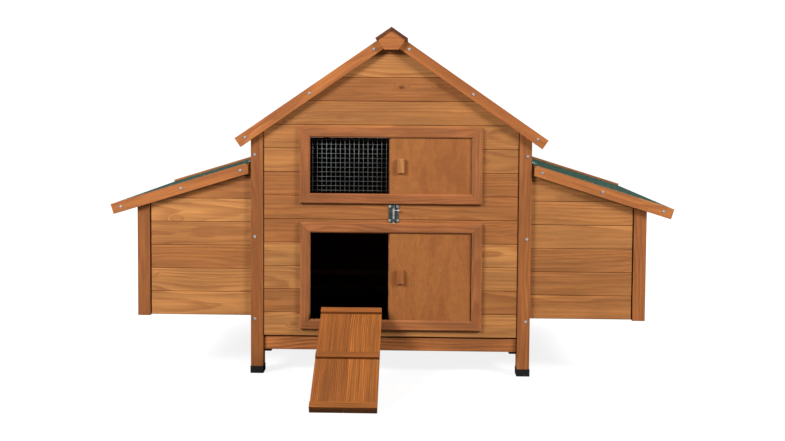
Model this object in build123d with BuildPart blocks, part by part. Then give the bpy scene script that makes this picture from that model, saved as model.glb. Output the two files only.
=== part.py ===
from build123d import *
import os
from math import asin, atan2, ceil, cos, degrees, hypot, radians, sin, sqrt, tan

# Wooden chicken coop: a tongue-and-groove house on four posts under a gabled roof, with a
# nest-box wing and a hinged, felted lid on each side, a mesh window and a pop hole with
# sliding plywood panels, a droppings tray that slides out at the front, and a ramp.
# Millimetres. +X is to the right seen from the front, the front faces -Y, +Z is up.
# The origin is on the ground, in the middle of the whole footprint, ramp included.

# ---- House ----
house_half_width = 385.0
house_depth = 664.0
post_size = 34.0
post_gap = 2.2
cap_wall = 1.5
cap_base = 3.0
cap_height = 20.0
plank_cover = 65.0
plank_thickness = 11.0
plank_gap = 0.6
plank_chamfer = 1.3
plank_recess = 2.0
side_recess = 8.0
wall_bottom = 106.0
batten_size = 20.0
batten_thickness = 12.0
skirt_bottom = 57.0

# ---- Roof ----
roof_peak = 948.4
roof_pitch = 34.64
eave_reach = 428.0
deck_thickness = 9.0
felt_thickness = 2.0
barge_width = 28.7
barge_thickness = 10.0
barge_gap = 1.0
cap_board_thickness = 7.5
cap_board_reach = 40.0
cap_board_overhang = 2.0
end_plate_width = 37.5
end_plate_bottom = 896.0

# ---- Window and pop hole frames ----
frame_half_width = 249.5
rail_width = 28.0
rail_face = 5.5
rail_round = 2.0
rail_bevel_width = 3.5
rail_bevel_depth = 2.5
mitre_gap = 0.9
window_bottom = 475.0
window_top = 684.5
door_bottom = 125.5
door_top = 422.5
door_offset = 1.5
groove_depth = 8.0
groove_width = 3.5
opening_right = -5.0
panel_thickness = 3.0
panel_width = 222.5
panel_left = -1.5
pull_width = 18.5
pull_height = 40.5
pull_depth = 8.0
pull_corner = 2.5
pull_edge = 2.0
pull_inset = 20.0
mesh_pitch = 12.7
mesh_wire = 1.1

# ---- Barrel bolt above the pop hole ----
bolt_x = 8.5
bolt_bottom_z = 412.0
bolt_top_z = 470.0
bolt_radius = 2.4
bolt_bore_clearance = 0.25
bolt_plate_width = 27.0
bolt_guides = ((425.0, 435.0), (464.0, 471.0))
bolt_screw_offsets = (-10.0, 10.5)
bolt_screw_heights = (429.0, 467.5)
knob_z = 457.0
knob_reach = 12.5
knob_radius = 3.0

# ---- Droppings tray ----
tray_front_bottom = 66.0
tray_front_top = 102.0
tray_half_width = 349.0
tray_inset = 6.0
tray_edge = 1.5
tray_rim_drop = 2.0
tray_length = 650.0
tray_board = 12.0
tray_sheet = 3.0
runner_top = 77.0

# ---- Perch ----
perch_width = 28.0
perch_height = 18.0
perch_bottom = 212.0
bracket_width = 46.0
bracket_below = 15.0

# ---- Nest-box wings ----
nest_setback = 6.0
nest_outer = 701.0
nest_post_gap = 4.0
nest_bottom = 160.0
nest_post_bottom = 157.0
nest_floor_bottom = 181.0
entrance_bottom = 236.0
entrance_top = 431.0
entrance_width = 200.0
lid_outer = 772.5
lid_outer_z = 468.0
lid_pitch = 17.2
lid_inner = 391.0
lid_barge_inner = 392.0
lid_barge_width = 29.0
lid_barge_stand = 0.5
lid_rear_rise = 5.5
lid_barge_round = 9.0
lid_tip_round = 2.0

# ---- Hinges ----
leaf_thickness = 1.2
knuckle_radius = 2.5
hinge_pin_radius = 1.22
hinge_bore_radius = 1.30
hinge_length = 50.0
leaf_height = 24.0
leaf_reach = 26.0
leaf_root = 4.0
ledger_below = 20.0
ledger_above = 28.0

# ---- Ramp ----
ramp_center = -105.0
ramp_width = 166.0
ramp_board = 12.0
cleat_width = 18.0
cleat_height = 8.0
ramp_pivot_out = 12.5
ramp_pivot_z = 165.5
ramp_reach = 292.5
ramp_overhang = 10.5
ramp_foot_lift = 0.3

# ---- Screws ----
screw_head_radius = 4.0
screw_head_height = 1.3
screw_shank_radius = 1.7
barge_screw_length = 9.0
post_screw_length = 30.0
post_screw_inset = 11.0
bolt_screw_length = 8.0

# ---- Places worked out from the dimensions above ----
ramp_drop = knuckle_radius + 0.9
foot_height = ramp_pivot_z - ramp_foot_lift
foot_distance = hypot(ramp_reach, foot_height)
ramp_pitch = atan2(foot_height, ramp_reach) + asin(ramp_drop / foot_distance)
ramp_run = sqrt(foot_distance**2 - ramp_drop**2)
ramp_tip = ramp_pivot_out + ramp_reach + (ramp_board + cleat_height) * sin(ramp_pitch)
ridge_tip = house_depth + barge_gap + 2 * barge_thickness + cap_board_overhang
front = (ramp_tip - ridge_tip) / 2
rear = front + house_depth
middle = (front + rear) / 2
wall_face = front + plank_recess
wall_back = wall_face + plank_thickness
rear_wall_face = rear - plank_recess
rear_wall_back = rear_wall_face - plank_thickness
post_inner = house_half_width - post_size
side_face = house_half_width - side_recess
side_back = side_face - plank_thickness
front_barge_face = front - barge_gap - barge_thickness
rear_barge_face = rear + barge_gap + barge_thickness
nest_front = front + nest_setback
nest_rear = rear - nest_setback
bolt_y = wall_face - leaf_thickness - bolt_radius - 0.3
layers = deck_thickness + felt_thickness

os.makedirs("parts", exist_ok=True)


def save(piece, name):
    """Labels one finished piece and writes its STEP file."""
    piece.part.label = name
    export_step(piece.part, f"parts/{name}.step")


# ---------------------------------------------------------------- shared shapes


class Slope:
    """A roof surface seen from the front: its height over the centre line, and its pitch."""

    def __init__(self, peak, pitch):
        self.peak = peak
        self.run = tan(radians(pitch))
        self.lean = sin(radians(pitch))
        self.rise = cos(radians(pitch))

    def height(self, x, depth=0.0):
        """Height at x of the plane that lies depth below the surface, square to it."""
        return self.peak - depth / self.rise - self.run * abs(x)

    def strip(self, side, inner, outer, top, bottom):
        """A layer between two depths; its outer end is cut square to the slope."""
        outer_top = outer - top * self.lean
        outer_bottom = outer - bottom * self.lean
        return [
            (side * inner, self.height(inner, top)),
            (side * outer_top, self.height(outer_top, top)),
            (side * outer_bottom, self.height(outer_bottom, bottom)),
            (side * inner, self.height(inner, bottom)),
        ]


roof = Slope(roof_peak, roof_pitch)
lid = Slope(lid_outer_z + lid_outer * tan(radians(lid_pitch)), lid_pitch)


def prism_along_y(points, y0, y1, mode=Mode.ADD):
    """A front-view outline, (x, z) points, carried from y0 back to y1."""
    with BuildSketch(Plane.XZ.offset(-y1)) as outline:
        with BuildLine():
            Polyline(*points, close=True)
        make_face()
    extrude(outline.sketch, amount=y1 - y0, mode=mode)


def prism_along_x(points, x0, x1, mode=Mode.ADD):
    """A side-view outline, (y, z) points, carried from x0 to x1."""
    with BuildSketch(Plane.YZ.offset(x0)) as outline:
        with BuildLine():
            Polyline(*points, close=True)
        make_face()
    extrude(outline.sketch, amount=x1 - x0, mode=mode)


def block(x0, x1, y0, y1, z0, z1, mode=Mode.ADD):
    """A plain board or cut-out between two corners."""
    with BuildSketch(Plane.XY.offset(z0)) as footprint:
        with Locations(((x0 + x1) / 2, (y0 + y1) / 2)):
            Rectangle(abs(x1 - x0), abs(y1 - y0))
    extrude(footprint.sketch, amount=z1 - z0, mode=mode)


def plank_outline(face, back, z0, z1):
    """A plank's end: the long edges of its weather face are chamfered."""
    inward = plank_chamfer if back > face else -plank_chamfer
    return [
        (face, z0 + plank_chamfer),
        (face, z1 - plank_chamfer),
        (face + inward, z1),
        (back, z1),
        (back, z0),
        (face + inward, z0),
    ]


def plank_rows(bottom, top):
    """Bottom and top height of each row of planks, with a hair of a gap above each."""
    for row in range(ceil((top - bottom) / plank_cover)):
        z0 = bottom + row * plank_cover
        yield z0, min(z0 + plank_cover - plank_gap, top)


def cut_above(slope, depth, half_width, y0, y1):
    """Takes away everything above a plane depth below a gabled surface."""
    sky = slope.peak + plank_cover
    prism_along_y(
        [
            (-half_width, slope.height(half_width, depth)),
            (0, slope.height(0, depth)),
            (half_width, slope.height(half_width, depth)),
            (half_width, sky),
            (-half_width, sky),
        ],
        y0,
        y1,
        Mode.SUBTRACT,
    )


def screw(x, y, z, facing, length):
    """A pan-head screw, its head on the face at y; facing is -1 to the front, 1 to the rear."""
    plane = Plane(origin=(x, y, z), x_dir=(1, 0, 0), z_dir=(0, facing, 0))
    with BuildSketch(plane) as head:
        Circle(screw_head_radius)
    extrude(head.sketch, amount=screw_head_height, taper=25)
    with BuildSketch(plane) as shank:
        Circle(screw_shank_radius)
    extrude(shank.sketch, amount=-length)


# ---------------------------------------------------------------- posts and feet


def post(side, y0, y1):
    """A corner post; its top follows the underside of the roof deck."""
    outer = side * house_half_width
    inner = side * post_inner
    prism_along_y(
        [
            (inner, cap_base),
            (outer, cap_base),
            (outer, roof.height(outer, layers)),
            (inner, roof.height(inner, layers)),
        ],
        y0,
        y1,
    )


for side, side_name in ((-1, "left"), (1, "right")):
    with BuildPart() as front_post:
        post(side, front, front + post_size)
    save(front_post, f"post_front_{side_name}")
    with BuildPart() as rear_post:
        post(side, rear - post_size, rear)
    save(rear_post, f"post_rear_{side_name}")

# Each foot is a plastic cup pushed onto the end of its post.
foot_pitch_x = 2 * house_half_width - post_size
foot_pitch_y = house_depth - post_size
with BuildPart() as foot_caps:
    with BuildSketch(Plane.XY):
        with Locations((0, middle)):
            with GridLocations(foot_pitch_x, foot_pitch_y, 2, 2):
                RectangleRounded(post_size + 2 * cap_wall, post_size + 2 * cap_wall, 2.0)
    extrude(amount=cap_height)
    chamfer(faces().filter_by(Axis.Z).sort_by(Axis.Z)[0:4].edges(), length=1.0)
    with BuildSketch(Plane.XY.offset(cap_base)):
        with Locations((0, middle)):
            with GridLocations(foot_pitch_x, foot_pitch_y, 2, 2):
                Rectangle(post_size, post_size)
    extrude(amount=cap_height, mode=Mode.SUBTRACT)
save(foot_caps, "foot_caps")


# The axis of each nest lid runs beside the house wall, just above the lid's felt, which lies
# a little lower than the tops of its barge boards.
lid_axis_x = house_half_width + leaf_thickness + knuckle_radius
lid_axis_z = lid.height(lid_axis_x, lid_barge_stand) + knuckle_radius


# ---------------------------------------------------------------- house walls

window_inner_bottom = window_bottom + rail_width
window_inner_top = window_top - rail_width
door_inner_bottom = door_bottom + rail_width
door_inner_top = door_top - rail_width
frame_inner = frame_half_width - rail_width
opening_margin = 2.0
opening_left = -frame_inner - opening_margin
opening_edge = frame_inner + 7.0
batten_top = roof.height(post_inner, layers) - 2.0

with BuildPart() as front_wall_planks:
    for z0, z1 in plank_rows(wall_bottom, roof.height(0, layers)):
        outline = plank_outline(wall_face, wall_back, z0, z1)
        prism_along_x(outline, post_gap - post_inner, post_inner - post_gap)
    for z0, z1 in (
        (door_inner_bottom - opening_margin, door_inner_top + opening_margin),
        (window_inner_bottom - opening_margin, window_inner_top + opening_margin),
    ):
        block(opening_left, opening_right, front, wall_back + 1, z0, z1, Mode.SUBTRACT)
    cut_above(roof, layers, house_half_width, front, wall_back + 1)
save(front_wall_planks, "front_wall_planks")

with BuildPart() as rear_wall_planks:
    for z0, z1 in plank_rows(wall_bottom, roof.height(0, layers)):
        outline = plank_outline(rear_wall_face, rear_wall_back, z0, z1)
        prism_along_x(outline, post_gap - post_inner, post_inner - post_gap)
    cut_above(roof, layers, house_half_width, rear_wall_back - 1, rear)
save(rear_wall_planks, "rear_wall_planks")

# The side walls stand between the posts. The planks beside the nest wings are cut through
# for two entrances, which leaves a lip to hold the bedding in.
nest_centers = (
    (wall_back + middle) / 2,
    (rear_wall_back + middle) / 2,
)
side_front = front + post_size + 0.3
side_rear = rear - post_size - 0.3
side_top = roof.height(side_face, layers)
for side, side_name in ((-1, "left"), (1, "right")):
    face, back = side * side_face, side * side_back
    with BuildPart() as side_wall_planks:
        prism_along_y(
            plank_outline(face, back, skirt_bottom, wall_bottom - plank_gap),
            side_front,
            side_rear,
        )
        for z0, z1 in plank_rows(wall_bottom, side_top):
            prism_along_y(plank_outline(face, back, z0, z1), side_front, side_rear)
        for center in nest_centers:
            block(
                min(face, back) - 1,
                max(face, back) + 1,
                center - entrance_width / 2,
                center + entrance_width / 2,
                entrance_bottom,
                entrance_top - plank_gap,
                Mode.SUBTRACT,
            )
    save(side_wall_planks, f"{side_name}_wall_planks")

# Upright battens behind the planks hold the boards of each wall together, and close the gap
# beside each post. A ledger along the outside of each side wall fills the recess of the
# planks and carries the lid's hinges.
nest_post_inner = nest_outer - post_size
nest_wall_face = nest_front + plank_recess
nest_wall_back = nest_wall_face + plank_thickness
nest_rear_wall_face = nest_rear - plank_recess
nest_rear_wall_back = nest_rear_wall_face - plank_thickness
lid_play = 0.5
nest_roof_depth = lid_barge_stand + layers + lid_play
with BuildPart() as wall_battens:
    for near, far in (
        (wall_back, wall_back + batten_thickness),
        (rear_wall_back - batten_thickness, rear_wall_back),
    ):
        for side in (-1, 1):
            for inner in (opening_edge, post_inner - batten_size):
                xs = sorted((side * inner, side * (inner + batten_size)))
                block(*xs, near, far, wall_bottom, batten_top)
    block(
        opening_right,
        opening_right + batten_size,
        wall_back,
        wall_back + batten_thickness,
        wall_bottom,
        batten_top,
    )
    for side in (-1, 1):
        xs = sorted((side * side_back, side * (side_back - batten_thickness)))
        for y0 in (side_front, side_rear - batten_size):
            block(*xs, y0, y0 + batten_size, skirt_bottom, side_top)
        ledger_x = sorted((side * (side_face + 0.05), side * (house_half_width - 0.05)))
        ledger_z = (lid_axis_z - ledger_below, lid_axis_z + ledger_above)
        block(*ledger_x, side_front, side_rear, *ledger_z)
        corner_x = sorted((side * (nest_post_inner - batten_size), side * nest_post_inner))
        corner_top = lid.height(nest_post_inner, nest_roof_depth) - 1.0
        for near in (nest_wall_back, nest_rear_wall_back - batten_thickness):
            far = near + batten_thickness
            block(*corner_x, near, far, nest_floor_bottom + deck_thickness + 0.2, corner_top)
save(wall_battens, "wall_battens")


# ---------------------------------------------------------------- window and pop hole frames


def rail_outline(outer_z, inner_z):
    """A rail's end: rounded outer edge, bevelled inner edge, and the groove behind it."""
    toward = 1 if inner_z > outer_z else -1
    face = front - rail_face
    return [
        (face, outer_z + rail_round * toward),
        (face + rail_round, outer_z),
        (wall_face, outer_z),
        (wall_face, inner_z - groove_depth * toward),
        (wall_face - groove_width, inner_z - groove_depth * toward),
        (wall_face - groove_width, inner_z),
        (face + rail_bevel_depth, inner_z),
        (face, inner_z - rail_bevel_width * toward),
    ]


def mitre_square(bottom, top, grow):
    """The front-view outline of the stiles' side of the four mitres, at the left."""
    half_height = (top - bottom) / 2
    center_z = (top + bottom) / 2
    return [
        (-frame_half_width - grow, bottom - grow),
        (-frame_half_width + half_height, center_z),
        (-frame_half_width - grow, top + grow),
    ]


def frame_rails(bottom, top):
    """The two level rails of a frame, their ends cut to the mitres."""
    prism_along_x(rail_outline(top, top - rail_width), -frame_half_width, frame_half_width)
    prism_along_x(
        rail_outline(bottom, bottom + rail_width), -frame_half_width, frame_half_width
    )
    for side in (-1, 1):
        cut = [(-side * x, z) for x, z in mitre_square(bottom, top, mitre_gap)]
        prism_along_y(cut, front - 2 * rail_face, wall_face + 1, Mode.SUBTRACT)


def frame_stiles(bottom, top):
    """The two upright stiles of a frame, their ends cut to the mitres."""
    face = front - rail_face
    for side in (-1, 1):
        outer = side * frame_half_width
        inner = side * frame_inner
        outline = [
            (outer - rail_round * side, face),
            (outer, face + rail_round),
            (outer, wall_face),
            (inner + side * groove_depth, wall_face),
            (inner + side * groove_depth, wall_face - groove_width),
            (inner, wall_face - groove_width),
            (inner, face + rail_bevel_depth),
            (inner + side * rail_bevel_width, face),
        ]
        with BuildSketch(Plane.XY.offset(bottom)) as section:
            with BuildLine():
                Polyline(*outline, close=True)
            make_face()
        extrude(section.sketch, amount=top - bottom)
        for corner_z, away in ((bottom, 1), (top, -1)):
            cut = [
                (outer + side * rail_width, corner_z - away * rail_width),
                (outer - side * 2 * rail_width, corner_z + away * 2 * rail_width),
                (outer - side * 2 * rail_width, corner_z - away * rail_width),
            ]
            prism_along_y(cut, face - 1, wall_face + 1, Mode.SUBTRACT)


for frame_name, bottom, top, offset_x in (
    ("window", window_bottom, window_top, 0.0),
    ("door", door_bottom, door_top, door_offset),
):
    with BuildPart() as rails:
        frame_rails(bottom, top)
        if frame_name == "door":
            with BuildSketch(Plane.XY.offset(top)):
                with Locations((bolt_x - offset_x, bolt_y)):
                    Circle(bolt_radius + bolt_bore_clearance)
            extrude(amount=2 - rail_width, mode=Mode.SUBTRACT)
    rails.part.position += Vector(offset_x, 0, 0)
    save(rails, f"{frame_name}_rails")
    with BuildPart() as stiles:
        frame_stiles(bottom, top)
    stiles.part.position += Vector(offset_x, 0, 0)
    save(stiles, f"{frame_name}_stiles")

# Welded wire mesh, stapled to the back of the planks behind the window.
mesh_center_x = (opening_left + opening_right) / 2
mesh_center_z = (window_inner_bottom + window_inner_top) / 2
mesh_columns = 17
mesh_rows = 12
mesh_overlap = 5.0
mesh_width = (mesh_columns - 1) * mesh_pitch + 2 * mesh_overlap
mesh_height = (mesh_rows - 1) * mesh_pitch + 2 * mesh_overlap
with BuildPart() as window_mesh:
    with BuildSketch(Plane.XZ.offset(-(wall_back + mesh_wire + 0.1))):
        with Locations((mesh_center_x, mesh_center_z)):
            with GridLocations(mesh_pitch, mesh_pitch, mesh_columns, 1):
                Rectangle(mesh_wire, mesh_height)
            with GridLocations(mesh_pitch, mesh_pitch, 1, mesh_rows):
                Rectangle(mesh_width, mesh_wire)
    extrude(amount=mesh_wire)
save(window_mesh, "window_mesh")


# ---------------------------------------------------------------- sliding panels

panel_face = wall_face - groove_width + 0.4
groove_play = 0.5
for panel_name, inner_bottom, inner_top in (
    ("window_panel", window_inner_bottom, window_inner_top),
    ("pop_door", door_inner_bottom, door_inner_top),
):
    z0 = inner_bottom - groove_depth + groove_play
    z1 = inner_top + groove_depth - groove_play
    with BuildPart() as panel:
        block(
            panel_left,
            panel_left + panel_width,
            panel_face,
            panel_face + panel_thickness,
            z0,
            z1,
        )
        if panel_name == "pop_door":
            # The bolt drops into this notch, which holds the door open.
            notch = bolt_radius + 1.5
            block(
                bolt_x - notch,
                bolt_x + notch,
                panel_face - 1,
                panel_face + panel_thickness + 1,
                inner_top + 1,
                z1 + 1,
                Mode.SUBTRACT,
            )
    save(panel, panel_name)
    # A small turned-edge wooden block is the panel's pull.
    with BuildPart() as pull:
        with BuildSketch(Plane.XZ.offset(-panel_face)):
            pull_x = panel_left + pull_inset + pull_width / 2
            with Locations((pull_x, (inner_bottom + inner_top) / 2)):
                RectangleRounded(pull_width, pull_height, pull_corner)
        extrude(amount=pull_depth)
        fillet(faces().sort_by(Axis.Y)[0].edges(), radius=pull_edge)
    save(pull, f"{panel_name}_pull")


# ---------------------------------------------------------------- barrel bolt

plate_bottom = door_top + 0.2
plate_top = window_bottom - 0.2
guide_radius = bolt_radius + bolt_bore_clearance + 1.3
with BuildPart() as bolt_plate:
    block(
        bolt_x - bolt_plate_width / 2,
        bolt_x + bolt_plate_width / 2,
        wall_face - leaf_thickness,
        wall_face,
        plate_bottom,
        plate_top,
    )
    fillet(edges().filter_by(Axis.Y), radius=2.0)
    for z0, z1 in bolt_guides:
        with BuildSketch(Plane.XY.offset(z0)):
            with Locations((bolt_x, bolt_y)):
                Circle(guide_radius)
            with Locations((bolt_x, (bolt_y + wall_face - leaf_thickness) / 2)):
                Rectangle(2 * guide_radius, wall_face - leaf_thickness - bolt_y)
        extrude(amount=z1 - z0)
    with BuildSketch(Plane.XY.offset(plate_bottom - 1)):
        with Locations((bolt_x, bolt_y)):
            Circle(bolt_radius + bolt_bore_clearance)
    extrude(amount=plate_top - plate_bottom + 2, mode=Mode.SUBTRACT)
save(bolt_plate, "bolt_plate")

with BuildPart() as bolt_rod:
    with BuildSketch(Plane.XY.offset(bolt_bottom_z)):
        with Locations((bolt_x, bolt_y)):
            Circle(bolt_radius)
    extrude(amount=bolt_top_z - bolt_bottom_z)
    chamfer(faces().sort_by(Axis.Z)[0].edges(), length=0.8)
    with BuildSketch(Plane.YZ.offset(bolt_x)):
        with Locations((bolt_y, knob_z)):
            Circle(screw_shank_radius)
    extrude(amount=knob_reach - knob_radius / 2)
    with Locations((bolt_x + knob_reach, bolt_y - knob_radius / 4, knob_z)):
        Sphere(knob_radius)
save(bolt_rod, "bolt_rod")


# ---------------------------------------------------------------- droppings tray

runner_outer = post_inner
runner_inner = post_inner - batten_size
with BuildPart() as tray_rails:
    for side in (-1, 1):
        xs = sorted((side * runner_inner, side * runner_outer))
        block(*xs, front + batten_size, rear - tray_board - 0.3, skirt_bottom, runner_top)
    block(
        0.3 - post_inner,
        post_inner - 0.3,
        rear - tray_board,
        rear,
        skirt_bottom,
        wall_bottom - 0.4,
    )
save(tray_rails, "tray_rails")

sheet_bottom = runner_top + 0.3
sheet_front = front + tray_inset + tray_board
sheet_half_width = tray_half_width - tray_edge
with BuildPart() as tray_front:
    block(
        -tray_half_width,
        tray_half_width,
        front + tray_inset,
        sheet_front,
        tray_front_bottom,
        tray_front_top,
    )
    fillet(faces().sort_by(Axis.Y)[0].edges(), radius=tray_edge)
save(tray_front, "tray_front")

with BuildPart() as tray_sheet_bottom:
    block(
        -sheet_half_width,
        sheet_half_width,
        sheet_front,
        front + tray_length,
        sheet_bottom,
        sheet_bottom + tray_sheet,
    )
save(tray_sheet_bottom, "tray_bottom")

with BuildPart() as tray_frame:
    wall_z = sheet_bottom + tray_sheet
    for side in (-1, 1):
        xs = sorted((side * sheet_half_width, side * (sheet_half_width - tray_board)))
        block(*xs, sheet_front, front + tray_length, wall_z, tray_front_top - tray_rim_drop)
    block(
        tray_board + 0.3 - sheet_half_width,
        sheet_half_width - tray_board - 0.3,
        front + tray_length - tray_board,
        front + tray_length,
        wall_z,
        tray_front_top - tray_rim_drop,
    )
save(tray_frame, "tray_frame")


# ---------------------------------------------------------------- perch

with BuildPart() as perch:
    with BuildSketch(Plane.YZ.offset(-side_back + 0.5)):
        with Locations((middle, perch_bottom + perch_height / 2)):
            RectangleRounded(perch_width, perch_height, 5.0)
    extrude(amount=2 * side_back - 1)
save(perch, "perch")

with BuildPart() as perch_brackets:
    for side in (-1, 1):
        xs = sorted((side * side_back, side * (side_back - batten_thickness)))
        block(
            *xs,
            middle - bracket_width / 2,
            middle + bracket_width / 2,
            perch_bottom - bracket_below,
            perch_bottom + perch_height,
        )
    block(
        -side_back,
        side_back,
        middle - perch_width / 2 - 0.2,
        middle + perch_width / 2 + 0.2,
        perch_bottom,
        perch_bottom + perch_height + 1,
        Mode.SUBTRACT,
    )
save(perch_brackets, "perch_brackets")


# ---------------------------------------------------------------- roof

ridge_gap = 0.15
for side, side_name in ((-1, "left"), (1, "right")):
    with BuildPart() as roof_deck:
        prism_along_y(
            roof.strip(side, ridge_gap, eave_reach - 1, felt_thickness, layers),
            front - barge_gap,
            rear + barge_gap,
        )
    save(roof_deck, f"roof_deck_{side_name}")
    with BuildPart() as roof_felt:
        prism_along_y(
            roof.strip(side, ridge_gap, eave_reach, 0, felt_thickness),
            front - barge_gap,
            rear + barge_gap,
        )
    save(roof_felt, f"roof_felt_{side_name}")
    with BuildPart() as barge_boards:
        outline = roof.strip(side, ridge_gap, eave_reach, 0, barge_width)
        prism_along_y(outline, front_barge_face, front - barge_gap)
        prism_along_y(outline, rear + barge_gap, rear_barge_face)
        fillet(edges().filter_by(Axis.Y).group_by(Axis.X)[0 if side < 0 else -1], radius=1.5)
    save(barge_boards, f"barge_boards_{side_name}")
    with BuildPart() as ridge_cap:
        prism_along_y(
            roof.strip(side, ridge_gap, cap_board_reach, -cap_board_thickness, 0),
            front_barge_face - barge_thickness - cap_board_overhang,
            rear_barge_face + barge_thickness + cap_board_overhang,
        )
    save(ridge_cap, f"ridge_cap_{side_name}")

# A five-sided plate closes each end of the ridge, over the joint of the barge boards.
with BuildPart() as ridge_end_plates:
    shoulder = roof.height(end_plate_width, 0.2)
    foot_x = end_plate_width - (shoulder - end_plate_bottom) * roof.run
    outline = [
        (0, roof.height(0, 0.2)),
        (end_plate_width, shoulder),
        (foot_x, end_plate_bottom),
        (-foot_x, end_plate_bottom),
        (-end_plate_width, shoulder),
    ]
    prism_along_y(outline, front_barge_face - barge_thickness, front_barge_face)
    prism_along_y(outline, rear_barge_face, rear_barge_face + barge_thickness)
save(ridge_end_plates, "ridge_end_plates")


# ---------------------------------------------------------------- nest-box wings

nest_face = nest_outer - side_recess
nest_back = nest_face - plank_thickness
nest_side_front = nest_front + post_size + 0.3
nest_side_rear = nest_rear - post_size - 0.3
divider_drop = 25.0
for side, side_name in ((-1, "left"), (1, "right")):
    with BuildPart() as nest_side_planks:
        nest_span = (side * (house_half_width + 0.3), side * (nest_post_inner - nest_post_gap))
        xs = sorted(nest_span)
        nest_top = lid.height(house_half_width, nest_roof_depth)
        for face, back in (
            (nest_wall_face, nest_wall_back),
            (nest_rear_wall_face, nest_rear_wall_back),
        ):
            for z0, z1 in plank_rows(nest_bottom, nest_top):
                prism_along_x(plank_outline(face, back, z0, z1), *xs)
        cut_above(lid, nest_roof_depth, nest_outer, front, rear)
    save(nest_side_planks, f"nest_{side_name}_side_planks")

    with BuildPart() as nest_end_planks:
        end_top = lid.height(nest_face, nest_roof_depth)
        for z0, z1 in plank_rows(nest_bottom, end_top):
            outline = plank_outline(side * nest_face, side * nest_back, z0, z1)
            prism_along_y(outline, nest_side_front, nest_side_rear)
    save(nest_end_planks, f"nest_{side_name}_end_planks")

    with BuildPart() as nest_posts:
        outline = [
            (side * nest_post_inner, nest_post_bottom),
            (side * nest_outer, nest_post_bottom),
            (side * nest_outer, lid.height(nest_outer, nest_roof_depth)),
            (side * nest_post_inner, lid.height(nest_post_inner, nest_roof_depth)),
        ]
        prism_along_y(outline, nest_front, nest_front + post_size)
        prism_along_y(outline, nest_rear - post_size, nest_rear)
    save(nest_posts, f"nest_{side_name}_posts")

    # The floor is notched around the posts, and lies on two bearers that run along the
    # front and rear planks.
    with BuildPart() as nest_floor:
        floor_z = (nest_floor_bottom, nest_floor_bottom + deck_thickness)
        bay_x = sorted((side * (house_half_width + 0.3), side * (nest_post_inner - 0.3)))
        full_x = sorted((side * (side_face + 0.3), side * (nest_back - 0.3)))
        bay_front = nest_wall_back + 0.3
        bay_rear = nest_rear_wall_back - 0.3
        block(*bay_x, bay_front, bay_rear, *floor_z)
        block(*full_x, nest_side_front, nest_side_rear, *floor_z)
        bearer_z = (nest_floor_bottom - batten_size + 0.5, nest_floor_bottom - 0.2)
        for y0 in (bay_front, bay_rear - batten_size):
            block(*bay_x, y0, y0 + batten_size, *bearer_z)
    save(nest_floor, f"nest_{side_name}_floor")

    with BuildPart() as nest_divider:
        divider_x = (side_face + 0.3, nest_back - 0.3)
        divider_depth = nest_roof_depth + divider_drop
        outline = [
            (side * divider_x[0], nest_floor_bottom + deck_thickness),
            (side * divider_x[1], nest_floor_bottom + deck_thickness),
            (side * divider_x[1], lid.height(divider_x[1], divider_depth)),
            (side * divider_x[0], lid.height(divider_x[0], divider_depth)),
        ]
        prism_along_y(outline, middle - deck_thickness / 2, middle + deck_thickness / 2)
    save(nest_divider, f"nest_{side_name}_divider")


# ---------------------------------------------------------------- hinged nest lids

lid_hinge_centers = (front + 150.0, rear - 150.0)
knuckle_gap = 0.4
knuckle_third = hinge_length / 3
lid_screw_runs = (413.5, 577.0, 743.5)
lid_deck_inset = 3.0
lid_deck_top = lid_barge_stand + felt_thickness
lid_deck_bottom = lid_barge_stand + layers
lid_front_face = nest_front - barge_gap - barge_thickness
lid_rear_face = nest_rear + barge_gap + barge_thickness


def knuckle(center, start, stop, radius, mode=Mode.ADD):
    """A cylinder along Y about center, an (x, z) point, from start to stop."""
    with BuildSketch(Plane.XZ.offset(-stop)) as disc:
        with Locations(center):
            Circle(radius)
    extrude(disc.sketch, amount=stop - start, mode=mode)


# The fixed leaves stand on the ledgers of the house walls.
with BuildPart() as lid_hinge_leaves:
    for side in (-1, 1):
        axis = (side * lid_axis_x, lid_axis_z)
        xs = sorted((side * house_half_width, side * (house_half_width + leaf_thickness)))
        for center in lid_hinge_centers:
            block(
                *xs,
                center - hinge_length / 2,
                center + hinge_length / 2,
                lid_axis_z,
                lid_axis_z + leaf_height,
            )
            for start in (center - hinge_length / 2, center + knuckle_third / 2):
                knuckle(axis, start, start + knuckle_third, knuckle_radius)
            knuckle(
                axis,
                center - hinge_length / 2,
                center + hinge_length / 2,
                hinge_pin_radius,
            )
            block(
                *xs,
                center - knuckle_third / 2 - knuckle_gap,
                center + knuckle_third / 2 + knuckle_gap,
                lid_axis_z,
                lid_axis_z + knuckle_radius + 1,
                Mode.SUBTRACT,
            )
save(lid_hinge_leaves, "lid_hinge_leaves")

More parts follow.
